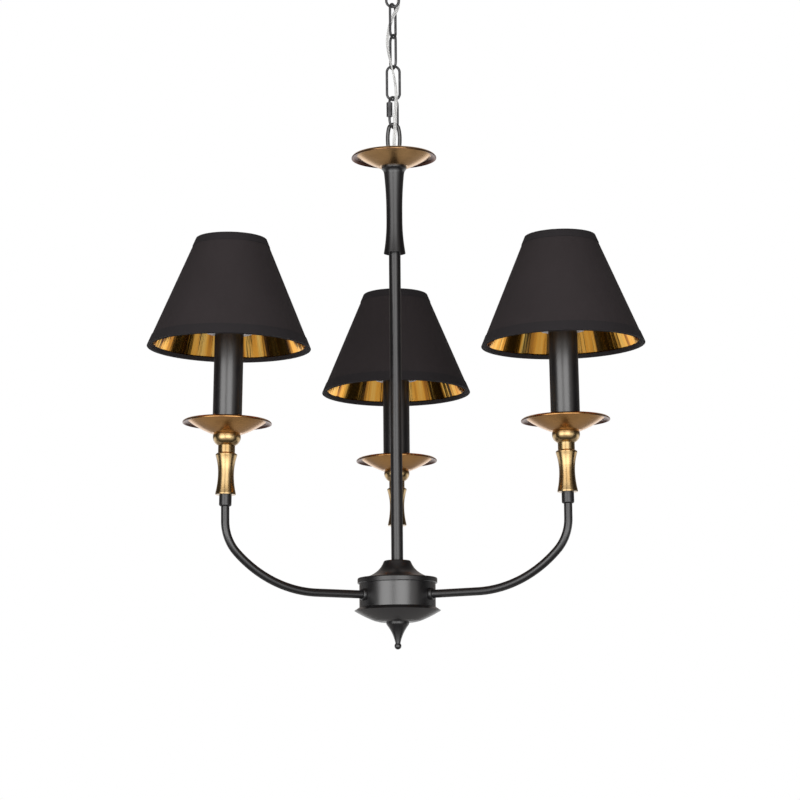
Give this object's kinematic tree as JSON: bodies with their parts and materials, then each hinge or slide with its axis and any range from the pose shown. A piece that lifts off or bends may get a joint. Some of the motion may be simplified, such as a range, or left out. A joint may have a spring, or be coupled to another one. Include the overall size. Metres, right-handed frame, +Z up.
{
  "type": "chandelier",
  "caption": "Chandelier on a chain: black stem and hub, curved arms with brass vases and saucers, black candle sleeves and black empire shades lined in gold foil.",
  "frame": {"origin": "ceiling, at the middle of the ceiling bracket's top face, above the stem", "axes": "+Z up, -Y towards the viewer, one arm points along +Y away from the viewer"},
  "size_m": [0.4918, 0.4554, 0.7799],
  "materials": {
    "black_steel": "satin",
    "gunmetal": "satin",
    "antique_brass": "brushed",
    "plain_brass": "polished",
    "zinc": "satin",
    "clear_cord": "gloss",
    "wire_plastic": "matte",
    "black_plastic": "satin",
    "white_plastic": "satin",
    "black_fabric": "matte",
    "black_trim": "matte",
    "gold_foil": "gloss"
  },
  "bodies": {
    "ceiling": {"ceiling_bracket": "zinc", "ground_screw": "plain_brass", "bracket_nut": "zinc", "canopy_nipple": "zinc", "canopy": "black_steel", "canopy_nut": "black_steel", "canopy_loop": "black_steel", "supply_cord": "clear_cord"},
    "chain_link_1_body": {"chain_link_1": "gunmetal"},
    "chain_link_2_body": {"chain_link_2": "gunmetal"},
    "chain_link_3_body": {"chain_link_3": "gunmetal"},
    "chain_link_4_body": {"chain_link_4": "gunmetal"},
    "quick_link_body": {"quick_link": "gunmetal", "quick_link_nut": "gunmetal"},
    "fixture": {"hang_loop": "black_steel", "crown_dish": "antique_brass", "stem_sleeve": "black_steel", "stem_tube": "black_steel", "stem_rod": "zinc", "stem_wires": "wire_plastic", "hub_cover": "black_steel", "hub_body": "black_steel", "hub_bowl": "black_steel", "finial": "black_steel", "rod_nuts": "zinc", "arm_nuts": "zinc", "arm_ferrules": "black_steel", "wire_connectors": "wire_plastic", "arm_wires": "wire_plastic", "arm_collars": "black_steel", "lamp_rods": "zinc", "shade_rings": "white_plastic", "arm_left": "black_steel", "vase_left": "antique_brass", "drip_saucer_left": "antique_brass", "candle_sleeve_left": "black_steel", "lampholder_left": "black_plastic", "shade_frame_left": "zinc", "shade_cover_left": "black_fabric", "shade_lining_left": "gold_foil", "shade_trim_left": "black_trim", "arm_right": "black_steel", "vase_right": "antique_brass", "drip_saucer_right": "antique_brass", "candle_sleeve_right": "black_steel", "lampholder_right": "black_plastic", "shade_frame_right": "zinc", "shade_cover_right": "black_fabric", "shade_lining_right": "gold_foil", "shade_trim_right": "black_trim", "arm_back": "black_steel", "vase_back": "antique_brass", "drip_saucer_back": "antique_brass", "candle_sleeve_back": "black_steel", "lampholder_back": "black_plastic", "shade_frame_back": "zinc", "shade_cover_back": "black_fabric", "shade_lining_back": "gold_foil", "shade_trim_back": "black_trim"}
  },
  "joints": [
    {"name": "chain_swing_1", "type": "hinge", "parent": "ceiling", "child": "chain_link_1_body", "pos_m": [0, 0, -0.0783], "axis": [0, 1, 0], "range_deg": [-12, 12], "deforming": ["supply_cord"]},
    {"name": "chain_swing_2", "type": "hinge", "parent": "chain_link_1_body", "child": "chain_link_2_body", "pos_m": [0, 0, -0.11095], "axis": [1, 0, 0], "range_deg": [-12, 12], "deforming": ["supply_cord"]},
    {"name": "chain_swing_3", "type": "hinge", "parent": "chain_link_2_body", "child": "chain_link_3_body", "pos_m": [0, 0, -0.1443], "axis": [0.4226, 0.9063, 0], "range_deg": [-12, 12], "deforming": ["supply_cord"]},
    {"name": "chain_swing_4", "type": "hinge", "parent": "chain_link_3_body", "child": "chain_link_4_body", "pos_m": [0, 0, -0.17765], "axis": [-0.4226, 0.9063, 0], "range_deg": [-12, 12], "deforming": ["supply_cord"]},
    {"name": "quick_link_swing", "type": "hinge", "parent": "chain_link_4_body", "child": "quick_link_body", "pos_m": [0, 0, -0.211], "axis": [-1, 0, 0], "range_deg": [-12, 12], "deforming": ["supply_cord"]},
    {"name": "lamp_swing", "type": "hinge", "parent": "quick_link_body", "child": "fixture", "pos_m": [0, 0, -0.24095], "axis": [0.5592, 0.829, 0], "range_deg": [-12, 12], "deforming": ["supply_cord"]}
  ]
}
